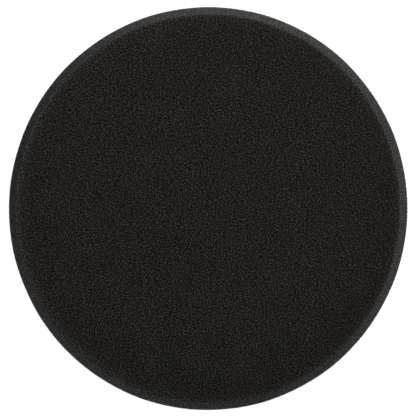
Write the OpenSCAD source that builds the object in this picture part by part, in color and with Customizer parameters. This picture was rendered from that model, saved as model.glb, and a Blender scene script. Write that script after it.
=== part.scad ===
// Foam polishing pad with a hook-and-loop back, for a rotary or dual-action car polisher.
//
// The pad is a bonded stack with no fasteners and no moving parts. From the machine side up:
//   loop_pile     nylon loops, which the hooks of a backing plate grip
//   loop_cloth    the knitted ground that the loops stand on
//   bond_film     hot-melt film that glues the cloth to the foam and keeps polish out of the loops
//   foam_disc     open-cell foam disc, whose upper face does the polishing
//
// Units are millimetres. The origin is the centre of the loop face, which is the face that meets
// the backing plate. +Z runs along the spin axis, out through the working face.

/* [Foam disc] */
// Diameter of the foam at its widest, before that edge is rounded
foam_d = 150; // [60:1:240]
// Thickness of the foam from its back to its working face
foam_t = 25; // [15:0.5:60]
// How far the bevelled edge leans in, seen from above the working face
bevel_w = 3.6; // [1:0.1:8]
// Height of the bevelled edge below the working face
bevel_h = 8.5; // [3:0.5:12]
// Radius of the crease between the bevel and the face
crease_r = 1.3; // [0.2:0.1:1.5]
// Radius of the soft turn between the bevel and the side wall
waist_r = 8; // [1:0.5:12]
// Width of the outer band of the face that falls away towards the crease
shoulder_w = 9; // [3:0.5:14]
// How far the face has fallen at the crease
shoulder_drop = 0.5; // [0.1:0.1:1.5]
// Radius of the slow turn from the flat of the face into that band
shoulder_r = 140; // [20:10:200]
// How far the side wall leans in from the widest point to the back
foot_lean = 0.8; // [0.2:0.1:3]
// Radius of the edge round the back of the foam
foot_r = 0.8; // [0.2:0.1:2]

/* [Bond film] */
// Thickness of the hot-melt film
film_t = 0.3; // [0.1:0.05:1]
// How far the melted film bleeds out past the cloth all round
film_bleed = 0.6; // [0.1:0.1:2]

/* [Loop backing] */
// How far the cut edge of the cloth is set in from the flat of the foam's back
cloth_inset = 3.4; // [2.5:0.1:20]
// Thickness of the knitted ground cloth
cloth_t = 0.7; // [0.3:0.1:2]
// Height of the loops that stand on the cloth
pile_t = 1.8; // [0.8:0.1:4]
// How far the outermost loops stand in from the cut edge of the cloth
pile_inset = 0.5; // [0.1:0.1:2]
// Radius of the edge round the tips of the loops
pile_r = 0.6; // [0.2:0.1:1]

/* [Hidden] */
$fn = 180;
// The most of either side of a corner that its rounding may take up
round_share = 0.45;
// How much a rounding circle is grown, so that it crosses the sides instead of grazing them
overcut = 0.0005;

foam_r = foam_d / 2;
crease_at = foam_r - bevel_w;
shoulder_at = crease_at - shoulder_w;
back_r = foam_r - foot_lean;
cloth_r = back_r - foot_r - cloth_inset;
film_r = cloth_r + film_bleed;
pile_out_r = cloth_r - pile_inset;

// Heights of the bonded faces, from the loop tips up
cloth_z = pile_t;
film_z = cloth_z + cloth_t;
foam_z = film_z + film_t;
face_z = foam_z + foam_t;

// Direction from point a to point b, of length 1
function unit(a, b) = (b - a) / norm(b - a);

// Half the angle between the two sides that meet at corner p
function half_angle(a, p, b) = acos(unit(p, a) * unit(p, b)) / 2;

// How far from corner p a circle of radius r touches the two sides, within its share of them
function round_reach(a, p, b, r) =
    min(r / tan(half_angle(a, p, b)), round_share * norm(a - p), round_share * norm(b - p));

// Centre and radius of the circle that rounds corner p, and where it touches the two sides
function corner_round(a, p, b, r) =
    let (reach = round_reach(a, p, b, r))
    let (half = half_angle(a, p, b))
    let (middle = unit(p, a) + unit(p, b))
    [p + middle / norm(middle) * reach / cos(half), reach * tan(half),
     p + unit(p, a) * reach, p + unit(p, b) * reach];

// What rounding takes off corner p
module corner_waste(a, p, b, r) {
    round = corner_round(a, p, b, r);
    difference() {
        polygon([round[2], 2 * p - round[0], round[3]]);
        translate(round[0])
            circle(r = round[1] + overcut);
    }
}

// A convex outline with its corners rounded by true arcs. Each corner is [[x, z], radius], and
// the first and last lie on the spin axis.
module rounded_outline(corners) {
    at = [for (c = corners) c[0]];
    difference() {
        polygon(at);
        for (i = [1 : len(corners) - 2])
            if (corners[i][1] > 0)
                corner_waste(at[i - 1], at[i], at[i + 1], corners[i][1]);
    }
}

// Flat round layer of the backing
module layer(radius, thickness, z) {
    translate([0, 0, z])
        cylinder(r = radius, h = thickness);
}

module foam_disc() {
    color("#26241f")
        rotate_extrude()
            rounded_outline([
                [[0, foam_z], 0],
                [[back_r, foam_z], foot_r],
                [[foam_r, face_z - bevel_h], waist_r],
                [[crease_at, face_z - shoulder_drop], crease_r],
                [[shoulder_at, face_z], shoulder_r],
                [[0, face_z], 0],
            ]);
}

module bond_film() {
    color("#5a5a55")
        layer(film_r, film_t, film_z);
}

module loop_cloth() {
    color("#303032")
        layer(cloth_r, cloth_t, cloth_z);
}

module loop_pile() {
    color("#3a3a3d")
        rotate_extrude()
            rounded_outline([
                [[0, 0], 0],
                [[pile_out_r, 0], pile_r],
                [[pile_out_r, pile_t], 0],
                [[0, pile_t], 0],
            ]);
}

foam_disc();
bond_film();
loop_cloth();
loop_pile();
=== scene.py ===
import math

import bpy
import numpy as np
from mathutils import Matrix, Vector

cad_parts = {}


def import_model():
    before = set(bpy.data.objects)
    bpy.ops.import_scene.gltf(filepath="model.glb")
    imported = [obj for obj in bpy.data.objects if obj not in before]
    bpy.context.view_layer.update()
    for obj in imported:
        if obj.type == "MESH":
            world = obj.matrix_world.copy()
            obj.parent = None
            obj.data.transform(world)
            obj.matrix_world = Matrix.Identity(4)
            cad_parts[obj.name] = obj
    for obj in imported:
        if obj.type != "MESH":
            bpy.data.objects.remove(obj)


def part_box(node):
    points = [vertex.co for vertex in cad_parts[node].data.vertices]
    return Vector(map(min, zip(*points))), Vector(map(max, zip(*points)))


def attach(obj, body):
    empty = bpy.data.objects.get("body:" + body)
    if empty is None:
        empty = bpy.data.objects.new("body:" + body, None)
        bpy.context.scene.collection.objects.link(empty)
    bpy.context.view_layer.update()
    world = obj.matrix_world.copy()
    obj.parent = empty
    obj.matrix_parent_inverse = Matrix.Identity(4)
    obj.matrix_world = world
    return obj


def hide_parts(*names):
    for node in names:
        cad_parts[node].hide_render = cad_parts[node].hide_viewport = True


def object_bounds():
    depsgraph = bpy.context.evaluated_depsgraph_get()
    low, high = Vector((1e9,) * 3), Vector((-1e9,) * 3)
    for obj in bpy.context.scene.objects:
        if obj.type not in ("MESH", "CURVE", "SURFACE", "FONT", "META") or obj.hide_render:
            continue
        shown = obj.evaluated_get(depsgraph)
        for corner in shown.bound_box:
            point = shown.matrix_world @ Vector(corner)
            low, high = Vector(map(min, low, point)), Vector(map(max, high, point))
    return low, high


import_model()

CAD_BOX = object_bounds()
MM = 0.001
TURN = 2 * math.pi

# ---------------------------------------------------------------- sizes that the frame gives
foam_low, foam_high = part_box("foam_disc")
film_low, film_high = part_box("bond_film")
cloth_low, cloth_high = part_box("loop_cloth")
pile_low, pile_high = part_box("loop_pile")

FOAM_R = foam_high[0]
FOAM_Z0, FOAM_Z1 = foam_low[2], foam_high[2]

# ---------------------------------------------------------------- sizes of the foam's outline
BEVEL_W = 3.6 * MM
BEVEL_H = 8.5 * MM
CREASE_R = 1.3 * MM
WAIST_R = 8 * MM
SHOULDER_W = 9 * MM
SHOULDER_DROP = 0.5 * MM
SHOULDER_R = 140 * MM
FOOT_LEAN = 0.8 * MM
FOOT_R = 0.8 * MM
BACK_SHOWN = 5 * MM         # how much of the foam's back is made as finely as the wall
WIDEST_Z = FOAM_Z1 - BEVEL_H

# The foam relaxed a little out of round when it was cut: the long axis leans from +Y towards +X
OVAL = 0.0057
OVAL_LEAN = math.radians(5.5)

# ---------------------------------------------------------------- sizes of the foam's cells
FINE = 0.27 * MM            # spacing of the mesh where the foam shows
WALL_SLOPE = 0.02           # how fast that spacing grows with the distance past the crease
WALL_SLOPE_END = 4 * MM     # where it stops growing
BACK_SLOPE = 0.09           # how fast it grows with the distance along the back
NORMAL_BLUR = 0.25 * MM     # half the stretch of outline that a normal is averaged over
CELL = 0.62 * MM            # spacing of the cut cells
CELL_RANDOM = 0.95          # how unevenly they are packed
CELL_SKEW = 0.61            # turns the rows of cells away from X and Y
WALL_CELL = 0.49 * MM       # spacing of the finer cells in their walls
WALL_SKEW = 0.9             # turns the finer cells away from the others
PIT_R = 0.5                 # how far a pit reaches from its cell's centre, in cell sizes
PIT_DEEP = 0.32 * MM
PIT_LEAST = 0.4             # depth of the shallowest pit, as a share of the deepest
PIT_FLATNESS = 0.7          # below 1 makes the bottom of a pit flatter
PIT_FADE = 1 * MM           # length over which the pits and the roll fade out on the back
ROLL = 0.06 * MM            # height of the slow roll of the whole skin
ROLL_SIZE = 22 * MM

# ---------------------------------------------------------------- tone of the foam
FOAM_TONE = (0.0091, 0.00865, 0.0080)
CELL_DEPTHS = (0.05, 0.65)  # distance from a cell's centre at which it is darkest, partly painted shade in the pit, and lightest
CELL_TONE = 2.2             # how far each pattern moves the tone either way
WALL_TONE = 2.1
GRAIN_TONE = 0.4
PATCH_TONE = 0.2
GRAIN = 0.2 * MM
PATCH = 12 * MM
DARKEST = 0.1               # least root of the level, which keeps the deepest cells from going light again
BEVEL_CALM = 0.22           # how much weaker the pattern is on the bevel and the wall
CREASE_CALM = 0.55          # the same just inside the crease
CREASE_CALM_REACH = 5 * MM

# Painted light and shade at the edge, as how much lighter than the middle of the face the foam is painted:
# on the bevel and the wall, where side light falls, and in three rings of painted highlight that start at the
# crease and fade inwards. Waves round the pad, painted lighter or darker by the way the light falls, are
# (strength, heading, turns), with the heading in degrees from +X towards +Y.
BEVEL_PAINTED_LIGHT = 1.42
BEVEL_WAVES = ((0.18, 15, 1), (0.27, 74, 2), (0.18, 96, 3))
BEVEL_FADE = 7 * MM         # height below the widest point over which those waves and the rim's painted highlight fade out
RIM_PAINTED_HIGHLIGHT = 0.27             # painted highlight: how much lighter still the bevel is at its rim
RIM_REACH = 2.6 * MM
# Painted highlight in three rings inside the crease: crest, near and far
CREST_PAINTED_HIGHLIGHT = 1.0
CREST_WAVES = ((0.6, 225, 1), (0.25, 0, 2))
CREST_REACH = 0.6 * MM
NEAR_PAINTED_HIGHLIGHT = 1.25
NEAR_REACH = 1.85 * MM
NEAR_WAVES = ((0.35, 205, 1), (0.25, 25, 2))
NEAR_WAVES_REACH = 1.2 * MM
FAR_PAINTED_HIGHLIGHT = 0.27
FAR_WAVES = ((0.4, 145, 1),)
FAR_REACH = 5 * MM
RING_START = 0.5 * MM       # how far outside the crease the rings start
RING_RISE = 0.6 * MM        # width over which they rise

# ---------------------------------------------------------------- sizes of the backing
FILM_FINE = 0.35 * MM       # spacing of the film's mesh at its rim
CLOTH_FINE = 0.7 * MM       # spacing of the cloth's mesh where it shows
HIDDEN_SLOPE = 0.12         # how fast those spacings grow on the hidden parts
HIDDEN_START = 2 * MM       # how far from the rim they start to grow
FILM_CORNER = 0.13 * MM
BEAD_W = 0.3 * MM           # width of the rim of film that flowed
BEAD_OUT = 0.2 * MM
BEAD_DOWN = 0.22 * MM
BEAD_LOW = 0.6              # how full the bead is where it neither swells nor thins
CLOTH_CORNER = 0.2 * MM
FUR_W = 0.8 * MM            # width of the cut edge that is furred
FUR_OUT = 0.12 * MM
WALE = 0.9 * MM             # spacing of the knitted ground's upright rows
COURSE = 0.7 * MM           # spacing of its level rows
KNIT_RELIEF = 0.05 * MM

YARN_R = 0.14 * MM
YARN_TWISTS = 9             # turns of twist along one loop
YARN_RINGS = 6              # rings of points along one loop
YARN_SIDES = 3              # points round the yarn
LOOP_GAP = 1.64 * MM
ROW_GAP = 0.93              # how close the rows of loops are, against the loops in a row
LOOP_STRAY = 0.3            # how far a loop strays from its place, in gaps
LOOP_WIDE = 1.35 * MM
LOOP_WIDTHS = (0.8, 1.15)
LOOP_HEIGHTS = (0.72, 0.98)
LOOP_WIDTH_NOISE = 0.12
LOOP_BEND = math.radians(290)
LOOP_TURN = 28              # how much the loops' headings differ, in degrees
LOOP_LEAN = 16              # how far they lean, and how much that differs, in degrees
LOOP_LEAN_NOISE = 11
LOOP_LEANS = (-15, 42)
LOOP_SUNK = 0.15 * MM       # how deep the feet of a loop are in the cloth
LOOP_CLEAR = 0.02 * MM      # least height of a loop's tip above the plane that it rests on
LOOP_RIM = 0.3 * MM         # how far the outermost loops stand in from the rim of the pile
YARN_LOTS = (0.15, 0.6)     # darkest and lightest yarn

# ---------------------------------------------------------------- floor, light and camera
FLOOR_HALF = 6.0
FLOOR_GAP = 0.1 * MM        # how far the floor is below the pad
FLOOR_GLOW = 1.0
WORLD_GLOW = 0.11           # brightness of the studio round the pad
WORLD_SEEN = 1.05           # brightness of the backdrop beyond the floor
LENS = 200.0
SENSOR = 36.0
OUTLINE_SHARE = 0.9663      # the outline's width, as a share of the picture's
CAMERA_AWAY = (LENS / SENSOR) * 2 * FOAM_R / OUTLINE_SHARE
CAMERA_ASIDE = (-0.08 * MM, 0.2 * MM)


# ---------------------------------------------------------------- outlines and skins
def unit(v):
    return v / np.linalg.norm(v)


def rounded(corners, arc_points=13):
    """Points along an outline of (r, z) corners whose turns are arcs. Each corner is ((r, z), radius)."""
    at = [np.array(c[0], float) for c in corners]
    out = [at[0]]
    for i in range(1, len(at) - 1):
        p, radius = at[i], corners[i][1]
        u, w = unit(at[i - 1] - p), unit(at[i + 1] - p)
        half = math.acos(float(np.clip(u @ w, -1, 1))) / 2
        centre = p + unit(u + w) * radius / math.sin(half)
        reach = radius / math.tan(half)
        a, b = p + u * reach - centre, p + w * reach - centre
        sweep = math.pi - 2 * half
        for t in np.linspace(0, 1, arc_points):
            out.append(centre + (a * math.sin((1 - t) * sweep) + b * math.sin(t * sweep)) / math.sin(sweep))
    out.append(at[-1])
    return np.array(out)


class Outline:
    """An (r, z) outline that can be asked for points and outward normals at any length along it."""

    def __init__(self, corners):
        self.points = rounded(corners)
        step = np.linalg.norm(np.diff(self.points, axis=0), axis=1)
        self.along = np.concatenate([[0], np.cumsum(step)])
        self.length = self.along[-1]

    def at(self, s):
        return np.interp(s, self.along, self.points[:, 0]), np.interp(s, self.along, self.points[:, 1])

    def normal(self, s, blur):
        """Outward normal in the (r, z) plane, averaged over a stretch of outline so that turns are soft."""
        r0, z0 = self.at(np.clip(s - blur, 0, self.length))
        r1, z1 = self.at(np.clip(s + blur, 0, self.length))
        n = np.stack([z0 - z1, r1 - r0], axis=1)
        return n / np.linalg.norm(n, axis=1, keepdims=True)


def stitched(angles, starts):
    """Triangles between each ring of points and the next, whatever their numbers. Angles rise from 0."""
    faces = []
    for k in range(len(angles) - 1):
        a, b = angles[k], angles[k + 1]
        n, m = len(a), len(b)
        if n > 1:
            i = np.arange(n)
            nxt = (i + 1) % n
            apex = (np.searchsorted(b, a[nxt], side="right") - 1) % m if m > 1 else np.zeros(n, int)
            faces.append(np.stack([starts[k] + i, starts[k + 1] + apex, starts[k] + nxt], axis=1))
        if m > 1:
            j = np.arange(m)
            nxt = (j + 1) % m
            apex = (np.searchsorted(a, b[nxt], side="left") - 1) % n if n > 1 else np.zeros(m, int)
            faces.append(np.stack([starts[k + 1] + j, starts[k + 1] + nxt, starts[k] + apex], axis=1))
    return np.concatenate(faces)


def lathe(outline, spacing, rng, loose=0.2, last_gap=0.6, fewest=6):
    """A closed skin of near-even triangles round the spin axis. Returns the length along the outline and
    the angle of every point, and the triangles. spacing(s) is the wanted distance between points, loose is
    how far a point strays from its even place, and last_gap is the least gap before the last point, both
    as shares of the spacing. No ring has fewer points than fewest."""
    s, rings = 0.0, [0.0]
    while True:
        s += spacing(s)
        if s > outline.length - spacing(outline.length) * last_gap:
            break
        rings.append(s)
    rings.append(outline.length)
    angles, lengths, starts, count = [], [], [], 0
    for k, s in enumerate(rings):
        r = float(outline.at(s)[0])
        gap = spacing(s)
        n = 1 if k in (0, len(rings) - 1) else max(fewest, round(TURN * r / gap))
        # Each ring starts at an angle of its own, from a quarter to three quarters of a gap round
        turn = (np.arange(n) + rng.random() * 0.5 + 0.25) / n
        if n > 1:
            turn = turn + rng.uniform(-loose, loose, n) / n
        angle = np.sort(np.mod(turn, 1.0)) * TURN
        slide = rng.uniform(-loose, loose, n) * gap if n > 1 else np.zeros(1)
        angles.append(angle)
        lengths.append(np.clip(s + slide, 0, outline.length))
        starts.append(count)
        count += n
    faces = stitched(angles, starts)
    return np.concatenate(lengths), np.concatenate(angles), faces


def waves(points, size, seed, count=7, stretch=(0.7, 1.6), peak=1.6):
    """A smooth random height, mostly from -1 to 1, that rolls over about the given size. It is a sum of
    count plain waves whose lengths are the size times anything in stretch."""
    rng = np.random.default_rng(seed)
    total = np.zeros(len(points))
    for _ in range(count):
        way = rng.normal(size=3)
        way /= np.linalg.norm(way)
        total += np.sin(points @ way * TURN / (size * rng.uniform(*stretch)) + rng.uniform(0, TURN))
    return total / count ** 0.5 / peak


def smooth(t):
    """0 below 0, 1 above 1, and an even rise between."""
    t = np.clip(t, 0, 1)
    return t * t * (3 - 2 * t)


def round_waves(angle, parts):
    """Sum of waves round the pad, each (strength, heading in degrees, number of turns)."""
    total = 0
    for strength, heading, turns in parts:
        total = total + strength * np.cos(turns * (angle - math.radians(heading)))
    return total


# ---------------------------------------------------------------- meshes
def mesh_object(name, points, faces, material):
    mesh = bpy.data.meshes.new(name)
    mesh.vertices.add(len(points))
    mesh.vertices.foreach_set("co", np.asarray(points, np.float32).ravel())
    width = faces.shape[1]
    mesh.loops.add(faces.size)
    mesh.loops.foreach_set("vertex_index", faces.astype(np.int32).ravel())
    mesh.polygons.add(len(faces))
    mesh.polygons.foreach_set("loop_start", np.arange(0, faces.size, width, dtype=np.int32))
    mesh.polygons.foreach_set("use_smooth", np.ones(len(faces), bool))
    mesh.update(calc_edges=True)
    mesh.validate()
    obj = bpy.data.objects.new(name, mesh)
    bpy.context.scene.collection.objects.link(obj)
    mesh.materials.append(material)
    return obj


def set_points(obj, points):
    obj.data.vertices.foreach_set("co", points.astype(np.float32).ravel())
    obj.data.update()


def set_bake_map(obj, uv):
    layer = obj.data.uv_layers.new(name="OFBake")
    layer.data.foreach_set("uv", uv.astype(np.float32).ravel())


def point_value(obj, name, values):
    layer = obj.data.attributes.new(name, "FLOAT", "POINT")
    layer.data.foreach_set("value", np.asarray(values, np.float32))


def point_vector(obj, name, values):
    layer = obj.data.attributes.new(name, "FLOAT_VECTOR", "POINT")
    layer.data.foreach_set("vector", np.asarray(values, np.float32).ravel())


def bake_map(obj, faces, s, angle, outline, front_end, back_start, gap=1 * MM, back_scale=0.4):
    """Lays a lathed skin out flat for textures: the front as a disc, any wall between the two lengths as
    four upright strips beside it, and the back as a smaller disc, with a gap round each."""
    strip = back_start - front_end + 2 * gap
    quarter = TURN / 4
    wall_r = float(outline.points[:, 0].max())
    side = 2 * (front_end + gap) + max(4 * strip, 2 * back_scale * (outline.length - back_start) + 2 * gap)
    at, turn = s[faces], angle[faces]
    turn = turn[:, :1] + np.mod(turn - turn[:, :1] + math.pi, TURN) - math.pi
    part = at.mean(axis=1)
    spread = np.stack([np.cos(turn), np.sin(turn)], axis=-1)
    front = front_end + gap + at[..., None] * spread
    strips_at = 2 * (front_end + gap)
    row = np.floor(turn.mean(axis=1) / quarter)[:, None]
    wall = np.stack([
        strips_at + np.mod(row, 4) * strip + at - front_end + gap,
        (turn - row * quarter) * wall_r + gap,
    ], axis=-1)
    back_r = back_scale * (outline.length - back_start)
    back_centre = np.array([strips_at + back_r + gap, quarter * wall_r + 3 * gap + back_r])
    back = back_centre + back_scale * (outline.length - at)[..., None] * spread * (1, -1)
    which = part[:, None, None]
    uv = np.where(which < front_end, front, np.where(which < back_start, wall, back)) / side
    set_bake_map(obj, uv)


# ---------------------------------------------------------------- material nodes
def new_material(name):
    material = bpy.data.materials.new(name)
    material.use_nodes = True
    tree = material.node_tree
    return material, tree.nodes, tree.links, tree.nodes["Principled BSDF"]


def node(nodes, kind, **values):
    """A new node, with each value set on the input of that name, or on the node itself."""
    made = nodes.new(kind)
    for key, value in values.items():
        if key in made.inputs:
            made.inputs[key].default_value = value
        else:
            setattr(made, key, value)
    return made


def noise(nodes, size, **values):
    return node(nodes, "ShaderNodeTexNoise", Scale=1 / size, **values)


def cell_texture(nodes, size):
    return node(
        nodes, "ShaderNodeTexVoronoi", voronoi_dimensions="2D", Scale=1 / size, Randomness=CELL_RANDOM)


def bands(nodes, direction, gap, distortion):
    """A wave texture with one band in every gap. Blender's wave has 20 / TURN bands a unit at scale 1."""
    return node(
        nodes, "ShaderNodeTexWave", bands_direction=direction, Scale=TURN / 20 / gap, Distortion=distortion)


def ramp(nodes, links, socket, stops):
    """Colour ramp driven by socket. Each stop is (place, colour)."""
    made = nodes.new("ShaderNodeValToRGB")
    elements = made.color_ramp.elements
    while len(elements) < len(stops):
        elements.new(0.5)
    for element, (place, colour) in zip(elements, stops):
        element.position = place
        element.color = (*colour, 1)
    links.new(socket, made.inputs["Fac"])
    return made.outputs["Color"]


def mapped(nodes, links, socket, span, to, eased=False):
    """socket, with the span mapped to another and held at its ends."""
    made = node(nodes, "ShaderNodeMapRange", interpolation_type="SMOOTHSTEP" if eased else "LINEAR")
    for name, value in (("From Min", span[0]), ("From Max", span[1]), ("To Min", to[0]), ("To Max", to[1])):
        made.inputs[name].default_value = value
    links.new(socket, made.inputs["Value"])
    return made.outputs["Result"]


def maths(nodes, links, operation, *sockets):
    made = node(nodes, "ShaderNodeMath", operation=operation)
    for k, socket in enumerate(sockets):
        if isinstance(socket, (int, float)):
            made.inputs[k].default_value = socket
        else:
            links.new(socket, made.inputs[k])
    return made.outputs["Value"]


def bumped(nodes, links, shader, height, strength, distance):
    bump = node(nodes, "ShaderNodeBump", Strength=strength, Distance=distance)
    links.new(height, bump.inputs["Height"])
    links.new(bump.outputs["Normal"], shader.inputs["Normal"])


# ---------------------------------------------------------------- materials
def foam_material():
    """Near-black foam. Its tone is a base colour times a sum of several patterns: the cut cells, whose dark
    middles are partly the foam's own tone and partly painted shade in the pits, finer cells in their walls,
    fibre-like grain, and broad patches. The point value "busy" says how strong the pattern is at each place,
    and a second point value scales the tone as painted light and shade."""
    material, nodes, links, shader = new_material("cut_foam")
    place = node(nodes, "ShaderNodeAttribute", attribute_name="cell_place")
    busy = node(nodes, "ShaderNodeAttribute", attribute_name="busy")
    # painted light and shade at the pad's edge, read from a point value
    painted_light = node(nodes, "ShaderNodeAttribute", attribute_name="painted_light")
    cells = cell_texture(nodes, CELL)
    walls = cell_texture(nodes, WALL_CELL)
    turned = node(nodes, "ShaderNodeMapping", Rotation=(0, 0, WALL_SKEW))
    grain = noise(nodes, GRAIN, Detail=2.0, Roughness=0.6)
    patch = noise(nodes, PATCH, Detail=2.0)
    links.new(place.outputs["Vector"], turned.inputs["Vector"])
    for texture in (cells, grain, patch):
        links.new(place.outputs["Vector"], texture.inputs["Vector"])
    links.new(turned.outputs["Vector"], walls.inputs["Vector"])
    parts = [
        # the cells' middles, where the mesh's pits are, are darkest: partly the foam's tone, partly painted
        # shade
        mapped(nodes, links, cells.outputs["Distance"], CELL_DEPTHS, (-CELL_TONE, CELL_TONE), eased=True),
        mapped(nodes, links, walls.outputs["Distance"], CELL_DEPTHS, (-WALL_TONE, WALL_TONE), eased=True),
        mapped(nodes, links, grain.outputs["Fac"], (0.25, 0.75), (-GRAIN_TONE, GRAIN_TONE)),
        mapped(nodes, links, patch.outputs["Fac"], (0.3, 0.7), (-PATCH_TONE, PATCH_TONE)),
    ]
    total = parts[0]
    for part in parts[1:]:
        total = maths(nodes, links, "ADD", total, part)
    total = maths(nodes, links, "MULTIPLY", total, busy.outputs["Fac"])
    # The level is (1 + total / 2) squared, which is skewed towards the light side as the foam is
    root = maths(nodes, links, "MAXIMUM", maths(nodes, links, "MULTIPLY_ADD", total, 0.5, 1.0), DARKEST)
    level = maths(nodes, links, "MULTIPLY", maths(nodes, links, "POWER", root, 2.0), painted_light.outputs["Fac"])
    tone = node(nodes, "ShaderNodeVectorMath", operation="SCALE")
    tone.inputs[0].default_value = FOAM_TONE
    links.new(level, tone.inputs["Scale"])
    links.new(tone.outputs["Vector"], shader.inputs["Base Color"])
    rough = mapped(nodes, links, cells.outputs["Distance"], (0.1, 0.9), (0.97, 0.8))
    links.new(rough, shader.inputs["Roughness"])
    height = maths(nodes, links, "ADD", walls.outputs["Distance"], grain.outputs["Fac"])
    bumped(nodes, links, shader, height, strength=0.6, distance=0.08 * MM)
    shader.inputs["Specular IOR Level"].default_value = 0.14
    shader.inputs["Specular Tint"].default_value = (1.0, 0.92, 0.82, 1)
    shader.inputs["Sheen Weight"].default_value = 0.04
    shader.inputs["Sheen Roughness"].default_value = 0.6
    shader.inputs["Sheen Tint"].default_value = (1.0, 0.97, 0.9, 1)
    return material


def film_material():
    """Hot-melt film: smoky, half glossy, with soft wrinkles from the press."""
    material, nodes, links, shader = new_material("melted_film")
    place = node(nodes, "ShaderNodeTexCoord")
    cloud = noise(nodes, 3 * MM, Detail=3.0, Roughness=0.55)
    wrinkle = noise(nodes, 0.7 * MM, Detail=2.0, Distortion=1.2)
    for texture in (cloud, wrinkle):
        links.new(place.outputs["Object"], texture.inputs["Vector"])
    colour = ramp(nodes, links, cloud.outputs["Fac"], [
        (0.3, (0.035, 0.033, 0.03)),
        (0.55, (0.06, 0.058, 0.051)),
        (0.75, (0.09, 0.087, 0.076)),
    ])
    links.new(colour, shader.inputs["Base Color"])
    rough = mapped(nodes, links, wrinkle.outputs["Fac"], (0.3, 0.7), (0.32, 0.55))
    links.new(rough, shader.inputs["Roughness"])
    bumped(nodes, links, shader, wrinkle.outputs["Fac"], strength=0.5, distance=0.12 * MM)
    return material


def cloth_material():
    """Knitted ground: upright wales crossed by level courses, with painted shade in the gaps between the
    stitches.
    """
    material, nodes, links, shader = new_material("knitted_ground")
    place = node(nodes, "ShaderNodeTexCoord")
    wales = bands(nodes, "X", WALE, 1.5)
    courses = bands(nodes, "Y", COURSE, 2.5)
    fuzz = noise(nodes, 0.25 * MM, Detail=4.0, Roughness=0.7)
    for texture in (wales, courses, fuzz):
        links.new(place.outputs["Object"], texture.inputs["Vector"])
    stitch = maths(nodes, links, "MULTIPLY", wales.outputs["Fac"], courses.outputs["Fac"])
    height = maths(nodes, links, "MULTIPLY_ADD", fuzz.outputs["Fac"], 0.6, stitch)
    # painted shade: the ramp darkens the low places between the stitches
    colour = ramp(nodes, links, height, [
        (0.2, (0.006, 0.006, 0.0065)),
        (0.7, (0.014, 0.014, 0.015)),
        (1.0, (0.028, 0.028, 0.031)),
    ])
    links.new(colour, shader.inputs["Base Color"])
    rough = mapped(nodes, links, height, (0.2, 1.2), (0.96, 0.82))
    links.new(rough, shader.inputs["Roughness"])
    bumped(nodes, links, shader, height, strength=0.8, distance=0.2 * MM)
    shader.inputs["Specular IOR Level"].default_value = 0.2
    shader.inputs["Sheen Weight"].default_value = 0.06
    return material


def yarn_material():
    """Nylon yarn: each loop has its own tone, and a twist that runs round it."""
    material, nodes, links, shader = new_material("loop_yarn")
    lot = node(nodes, "ShaderNodeAttribute", attribute_name="yarn_lot")
    along = node(nodes, "ShaderNodeAttribute", attribute_name="yarn_along")
    place = node(nodes, "ShaderNodeTexCoord")
    fuzz = noise(nodes, 0.12 * MM, Detail=3.0, Roughness=0.65)
    links.new(place.outputs["Object"], fuzz.inputs["Vector"])
    round_yarn = maths(nodes, links, "MULTIPLY", along.outputs["Fac"], TURN * YARN_TWISTS)
    twist = maths(nodes, links, "SINE", round_yarn)
    shade = maths(nodes, links, "MULTIPLY_ADD", twist, 0.12, lot.outputs["Fac"])
    shade = maths(nodes, links, "MULTIPLY_ADD", fuzz.outputs["Fac"], 0.4, shade)
    colour = ramp(nodes, links, shade, [
        (0.2, (0.03, 0.03, 0.033)),
        (0.6, (0.05, 0.05, 0.055)),
        (1.0, (0.085, 0.085, 0.093)),
    ])
    links.new(colour, shader.inputs["Base Color"])
    rough = mapped(nodes, links, fuzz.outputs["Fac"], (0.3, 0.7), (0.8, 0.6))
    links.new(rough, shader.inputs["Roughness"])
    height = maths(nodes, links, "ADD", twist, fuzz.outputs["Fac"])
    bumped(nodes, links, shader, height, strength=0.6, distance=0.05 * MM)
    shader.inputs["Sheen Weight"].default_value = 0.3
    shader.inputs["Sheen Roughness"].default_value = 0.4
    return material


# ---------------------------------------------------------------- foam
def cell_field(obj):
    """Reads, at every point, the cell texture that the foam's material uses: how far the nearest cell's
    centre is, in cell sizes, and a random number that belongs to that cell."""
    group = bpy.data.node_groups.new("cell_field", "GeometryNodeTree")
    for side in ("INPUT", "OUTPUT"):
        group.interface.new_socket("Geometry", in_out=side, socket_type="NodeSocketGeometry")
    nodes, links = group.nodes, group.links
    start, end = nodes.new("NodeGroupInput"), nodes.new("NodeGroupOutput")
    place = nodes.new("GeometryNodeInputNamedAttribute")
    place.data_type = "FLOAT_VECTOR"
    place.inputs["Name"].default_value = "cell_place"
    cells = cell_texture(nodes, CELL)
    links.new(place.outputs["Attribute"], cells.inputs["Vector"])
    flow = start.outputs[0]
    for name, kind, output in (("distance", "FLOAT", "Distance"), ("lot", "FLOAT_VECTOR", "Color")):
        store = nodes.new("GeometryNodeStoreNamedAttribute")
        store.data_type = kind
        store.inputs["Name"].default_value = name
        links.new(flow, store.inputs["Geometry"])
        links.new(cells.outputs[output], store.inputs["Value"])
        flow = store.outputs["Geometry"]
    links.new(flow, end.inputs[0])
    reader = obj.modifiers.new("cell_field", "NODES")
    reader.node_group = group
    read = obj.evaluated_get(bpy.context.evaluated_depsgraph_get()).data
    distance = np.empty(len(read.vertices), np.float32)
    lot = np.empty(len(read.vertices) * 3, np.float32)
    read.attributes["distance"].data.foreach_get("value", distance)
    read.attributes["lot"].data.foreach_get("vector", lot)
    obj.modifiers.remove(reader)
    bpy.data.node_groups.remove(group)
    return distance, lot.reshape(-1, 3)[:, 0]


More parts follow.
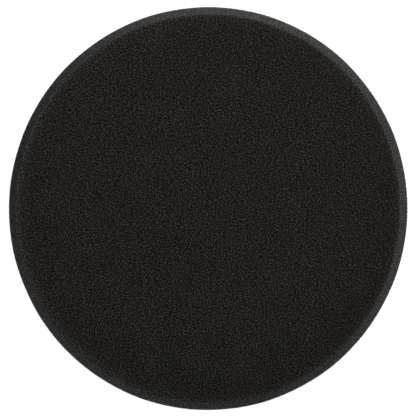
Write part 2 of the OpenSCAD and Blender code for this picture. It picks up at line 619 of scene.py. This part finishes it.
def painted_edge_light(inward, angle, z):
    """How much lighter than the middle of the face the foam is painted, as painted light and shade. The bevel
    is painted lighter where side light falls, lighter or darker round the pad by the way the light comes, and
    the foam inside the crease has a painted highlight."""
    up = z - WIDEST_Z
    on_bevel = smooth((up + BEVEL_FADE) / BEVEL_FADE)
    rim = RIM_PAINTED_HIGHLIGHT * np.exp(-(np.clip(up, 0, None) / RIM_REACH) ** 2)
    band = BEVEL_PAINTED_LIGHT * (1 + round_waves(angle, BEVEL_WAVES) * on_bevel) * (1 + rim * on_bevel)
    x = np.clip(inward, 0, None)
    crest = (CREST_PAINTED_HIGHLIGHT + round_waves(angle, CREST_WAVES)) * np.exp(-x / CREST_REACH)
    near = NEAR_PAINTED_HIGHLIGHT * np.exp(-x / NEAR_REACH)
    near_waves = round_waves(angle, NEAR_WAVES) * np.exp(-x / NEAR_WAVES_REACH)
    far = (FAR_PAINTED_HIGHLIGHT + round_waves(angle, FAR_WAVES)) * np.exp(-x / FAR_REACH)
    rings = 1 + crest + near + near_waves + far
    return band + (rings - band) * smooth((inward + RING_START) / RING_RISE) * (up > 0)


def relaxed(points):
    """The points of a round disc, stretched along one axis and narrowed along the other."""
    long_way = np.array([math.sin(OVAL_LEAN), math.cos(OVAL_LEAN)])
    wide_way = np.array([math.cos(OVAL_LEAN), -math.sin(OVAL_LEAN)])
    along = points[:, :2] @ long_way
    across = points[:, :2] @ wide_way
    out = points.copy()
    out[:, :2] = np.outer(along * (1 + OVAL), long_way) + np.outer(across * (1 - OVAL), wide_way)
    return out


def foam():
    """The foam: one closed skin, pitted with cut cells wherever it can be seen."""
    crease = FOAM_R - BEVEL_W
    outline = Outline([
        ((0, FOAM_Z1), 0),
        ((crease - SHOULDER_W, FOAM_Z1), SHOULDER_R),
        ((crease, FOAM_Z1 - SHOULDER_DROP), CREASE_R),
        ((FOAM_R, WIDEST_Z), WAIST_R),
        ((FOAM_R - FOOT_LEAN, FOAM_Z0), FOOT_R),
        ((0, FOAM_Z0), 0),
    ])
    back_at = outline.length - (FOAM_R - BACK_SHOWN)

    def spacing(s):
        past_crease = min(max(0.0, s - crease), WALL_SLOPE_END)
        return FINE + WALL_SLOPE * past_crease + BACK_SLOPE * max(0.0, s - back_at)

    s, angle, faces = lathe(outline, spacing, np.random.default_rng(11))
    r, z = outline.at(s)
    n = outline.normal(s, NORMAL_BLUR)
    cos, sin = np.cos(angle), np.sin(angle)
    points = np.stack([r * cos, r * sin, z], axis=1)
    normal = np.stack([n[:, 0] * cos, n[:, 0] * sin, n[:, 1]], axis=1)
    obj = mesh_object("foam_body", points, faces, foam_material())
    # The cells are laid out on the skin as if it were pressed flat, so they stay whole at every turn
    flat = np.stack([s * np.cos(angle + CELL_SKEW), s * np.sin(angle + CELL_SKEW), 0 * s], axis=1)
    point_vector(obj, "cell_place", flat)
    distance, lot = cell_field(obj)
    shown = np.clip((back_at + PIT_FADE - s) / PIT_FADE, 0, 1)
    bowl = np.clip(1 - (distance / PIT_R) ** 2, 0, 1) ** PIT_FLATNESS
    pit = PIT_DEEP * bowl * (PIT_LEAST + (1 - PIT_LEAST) * lot) * shown
    roll = ROLL * waves(points, ROLL_SIZE, seed=5) * shown
    set_points(obj, relaxed(points + normal * (roll - pit)[:, None]))
    inward = crease - r
    # painted light and shade at the pad's edge, stored as a point value
    point_value(obj, "painted_light", painted_edge_light(inward, angle, z))
    calm = CREASE_CALM * np.exp(-np.clip(inward, 0, None) / CREASE_CALM_REACH)
    point_value(obj, "busy", 1 - np.where(inward > 0, calm, BEVEL_CALM))
    waist_at = float(np.interp(WIDEST_Z, outline.points[::-1, 1], outline.along[::-1]))
    # The back's map starts a little before its fine mesh ends
    bake_map(obj, faces, s, angle, outline, waist_at, back_at - 0.8 * MM)
    return obj


foam_body = foam()
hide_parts("foam_disc")
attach(foam_body, "root")


# ---------------------------------------------------------------- backing
def disc(name, low, high, corner, spacing, seed, material):
    """A thin closed disc between the two heights of a CAD node's box. Returns the object, its points, how
    far each point is from the spin axis, the way outwards from it, and which points are on the underside."""
    radius = high[0]
    outline = Outline([
        ((0, high[2]), 0),
        ((radius, high[2]), corner),
        ((radius, low[2]), corner),
        ((0, low[2]), 0),
    ])
    s, angle, faces = lathe(outline, spacing, np.random.default_rng(seed))
    r, z = outline.at(s)
    outwards = np.stack([np.cos(angle), np.sin(angle)], axis=1)
    points = np.append(r[:, None] * outwards, z[:, None], axis=1)
    obj = mesh_object(name, points, faces, material)
    middle = outline.length / 2
    bake_map(obj, faces, s, angle, outline, middle, middle)
    return obj, points, r, outwards, z < (low[2] + high[2]) / 2


def film():
    """The film shows as a thin bead round the cloth, squeezed out unevenly when the pad was pressed."""
    radius = film_high[0]

    def spacing(s):
        return FILM_FINE + HIDDEN_SLOPE * max(0.0, abs(s - radius) - HIDDEN_START)

    obj, points, r, outwards, under = disc(
        "film_bead", film_low, film_high, FILM_CORNER, spacing, 21, film_material())
    edge = np.clip((r - cloth_high[0]) / BEAD_W, 0, 1)
    flow = 0.6 * waves(points, 9 * MM, seed=22) + 0.4 * waves(points, 2.5 * MM, seed=23)
    points[:, :2] += outwards * (BEAD_OUT * edge * np.clip(flow, -1.2, 1.2))[:, None]
    points[:, 2] -= BEAD_DOWN * edge * under * np.clip(BEAD_LOW + flow, 0, 1.4)
    set_points(obj, points)
    return obj


def cloth():
    """The knitted ground that the loops stand in: a thin closed sheet with a cut, slightly furred edge."""
    radius = cloth_high[0]

    def spacing(s):
        return CLOTH_FINE + HIDDEN_SLOPE * max(0.0, radius - HIDDEN_START - s)

    obj, points, r, outwards, under = disc(
        "loop_ground", cloth_low, cloth_high, CLOTH_CORNER, spacing, 31, cloth_material())
    edge = np.clip((r - radius + FUR_W) / FUR_W, 0, 1)
    fur = waves(points, 1.3 * MM, seed=32) + 0.5 * waves(points, 6 * MM, seed=33)
    points[:, :2] += outwards * (FUR_OUT * edge * np.clip(fur, -1.5, 1.0))[:, None]
    rows = np.sin(TURN * points[:, 0] / (2 * WALE)) * np.sin(TURN * points[:, 1] / (2 * COURSE))
    points[:, 2] -= KNIT_RELIEF * under * (rows + waves(points, 3 * MM, seed=34))
    set_points(obj, points)
    return obj


def loop_faces():
    """Triangles of one loop, and the corners of each on a flat map of that loop."""
    faces, uv = [], []
    for i in range(YARN_RINGS - 1):
        for j in range(YARN_SIDES):
            a, b = i * YARN_SIDES + j, i * YARN_SIDES + (j + 1) % YARN_SIDES
            c, d = b + YARN_SIDES, a + YARN_SIDES
            corners = {a: (i, j), b: (i, j + 1), c: (i + 1, j + 1), d: (i + 1, j)}
            for tri in ((a, b, c), (a, c, d)):
                faces.append(tri)
                uv.append([(corners[k][0] / YARN_RINGS, corners[k][1] / (YARN_SIDES + 1)) for k in tri])
    last = (YARN_RINGS - 1) * YARN_SIDES
    faces += [(2, 1, 0), (last, last + 1, last + 2)]
    uv += [[(0, 0.2), (0, 0.1), (0.05, 0)], [(0.9, 0), (0.9, 0.1), (0.95, 0.2)]]
    return np.array(faces), np.array(uv)


def pile():
    """Yarn loops that stand out of the ground, one mesh. Each is an open-footed ring of yarn whose feet are
    sunk in the cloth. They lean mostly one way, as the cloth was brushed."""
    rng = np.random.default_rng(41)
    reach = pile_high[0] - LOOP_RIM
    count = int(2 * reach / (LOOP_GAP * ROW_GAP)) + 2
    gx, gy = np.meshgrid(np.arange(count), np.arange(count))
    spots = np.stack([gx + 0.5 * (gy % 2), gy * ROW_GAP], axis=-1).reshape(-1, 2) * LOOP_GAP
    spots -= spots.mean(axis=0)
    spots += rng.uniform(-LOOP_STRAY, LOOP_STRAY, spots.shape) * LOOP_GAP
    spots = spots[np.linalg.norm(spots, axis=1) < reach]
    total = len(spots)
    tall = (pile_high[2] - pile_low[2] - YARN_R) * rng.uniform(*LOOP_HEIGHTS, total)
    wide = LOOP_WIDE / 2 * rng.uniform(*LOOP_WIDTHS, total)
    heading = np.radians(rng.normal(0, LOOP_TURN, total)) + math.pi / 2
    lean = np.tan(np.radians(np.clip(rng.normal(LOOP_LEAN, LOOP_LEAN_NOISE, total), *LOOP_LEANS)))
    # The middle line of every loop
    t = np.linspace(0, 1, YARN_RINGS)
    bend = (t - 0.5) * LOOP_BEND
    across = np.sin(bend) * wide[:, None] * (1 + LOOP_WIDTH_NOISE * rng.normal(size=(total, 1)))
    rise = (np.cos(bend) - np.cos(bend[0])) / (1 - np.cos(bend[0]))
    down = rise * (tall[:, None] + LOOP_SUNK)
    ahead = lean[:, None] * down * rise
    way = np.stack([np.cos(heading), np.sin(heading)], axis=-1)
    aside = np.stack([-way[:, 1], way[:, 0]], axis=-1)
    centre = np.empty((total, YARN_RINGS, 3))
    centre[..., :2] = spots[:, None] + way[:, None] * ahead[..., None] + aside[:, None] * across[..., None]
    centre[..., 2] = pile_high[2] + LOOP_SUNK - down
    # The skin of the yarn round that line
    tangent = np.gradient(centre, axis=1)
    tangent /= np.linalg.norm(tangent, axis=2, keepdims=True)
    first = np.cross(tangent, np.append(way, np.zeros((total, 1)), axis=1)[:, None])
    first /= np.linalg.norm(first, axis=2, keepdims=True)
    second = np.cross(tangent, first)
    round_at = (np.arange(YARN_SIDES) * TURN / YARN_SIDES)[:, None]
    skin = centre[:, :, None] + YARN_R * (
        first[:, :, None] * np.cos(round_at) + second[:, :, None] * np.sin(round_at))
    skin[..., 2] = np.clip(skin[..., 2], pile_low[2] + LOOP_CLEAR, None)
    a_loop = YARN_RINGS * YARN_SIDES
    one, one_uv = loop_faces()
    faces = (one[None] + np.arange(total)[:, None, None] * a_loop).reshape(-1, 3)
    obj = mesh_object("loop_yarns", skin.reshape(-1, 3), faces, yarn_material())
    point_value(obj, "yarn_lot", np.repeat(rng.uniform(*YARN_LOTS, total), a_loop))
    point_value(obj, "yarn_along", np.tile(np.repeat(t, YARN_SIDES), total))
    # Each loop has a square of its own on the flat map, with a margin round it
    grid = math.ceil(math.sqrt(total))
    square = np.stack([np.arange(total) % grid, np.arange(total) // grid], axis=-1)
    set_bake_map(obj, (square[:, None, None] + 0.05 + 0.9 * one_uv[None]) / grid)
    return obj


film_bead = film()
loop_ground = cloth()
loop_yarns = pile()
for piece, cad_node, slot in (
    (film_bead, "bond_film", "film"),
    (loop_ground, "loop_cloth", "cloth"),
    (loop_yarns, "loop_pile", "pile"),
):
    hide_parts(cad_node)
    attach(piece, "root")


# ---------------------------------------------------------------- studio
def stage_floor():
    """A white floor that glows as a light table does, so that it is white under the pad's edge too."""
    low, high = -FLOOR_HALF, FLOOR_HALF
    z = CAD_BOX[0][2] - FLOOR_GAP
    corners = np.array([[low, low, z], [high, low, z], [high, high, z], [low, high, z]])
    material, nodes, links, shader = new_material("studio_floor")
    shader.inputs["Base Color"].default_value = (0.3, 0.3, 0.3, 1)
    shader.inputs["Roughness"].default_value = 1.0
    shader.inputs["Specular IOR Level"].default_value = 0.0
    shader.inputs["Emission Color"].default_value = (0.98, 0.985, 1, 1)
    shader.inputs["Emission Strength"].default_value = FLOOR_GLOW
    floor = mesh_object("studio_floor", corners, np.array([[0, 1, 2, 3]]), material)


def area_light(name, azimuth, elevation, away, size, power, colour):
    """A soft square light that looks at the pad. Azimuth is counted from +X towards +Y."""
    data = bpy.data.lights.new(name, "AREA")
    data.shape = "SQUARE"
    data.size = size
    data.energy = power
    data.color = colour
    lamp = bpy.data.objects.new(name, data)
    a, e = math.radians(azimuth), math.radians(elevation)
    way = np.array([math.cos(e) * math.cos(a), math.cos(e) * math.sin(a), math.sin(e)])
    lamp.location = tuple(way * away)
    lamp.rotation_euler = Vector(way).to_track_quat("Z", "Y").to_euler()
    lamp.visible_camera = False
    bpy.context.scene.collection.objects.link(lamp)


def world():
    """A dim white studio that the camera sees as a white backdrop."""
    sky = bpy.data.worlds.new("studio")
    sky.use_nodes = True
    nodes, links = sky.node_tree.nodes, sky.node_tree.links
    glow = nodes["Background"]
    glow.inputs["Color"].default_value = (1, 1, 1, 1)
    path = nodes.new("ShaderNodeLightPath")
    strength = mapped(nodes, links, path.outputs["Is Camera Ray"], (0, 1), (WORLD_GLOW, WORLD_SEEN))
    links.new(strength, glow.inputs["Strength"])
    bpy.context.scene.world = sky


def camera():
    """Looks straight down at the middle of the working face, from far off."""
    data = bpy.data.cameras.new("camera")
    data.lens = LENS
    data.sensor_width = SENSOR
    data.clip_start = 0.01
    data.clip_end = 50
    eye = bpy.data.objects.new("camera", data)
    eye.location = (*CAMERA_ASIDE, WIDEST_Z + CAMERA_AWAY)
    eye.rotation_euler = (0, 0, 0)
    bpy.context.scene.collection.objects.link(eye)
    bpy.context.scene.camera = eye


stage_floor()
world()
camera()
area_light("key", azimuth=52, elevation=42, away=1.6, size=0.8, power=14.4, colour=(1, 0.99, 0.97))

view = bpy.context.scene.view_settings
view.view_transform = "Standard"
view.look = "None"
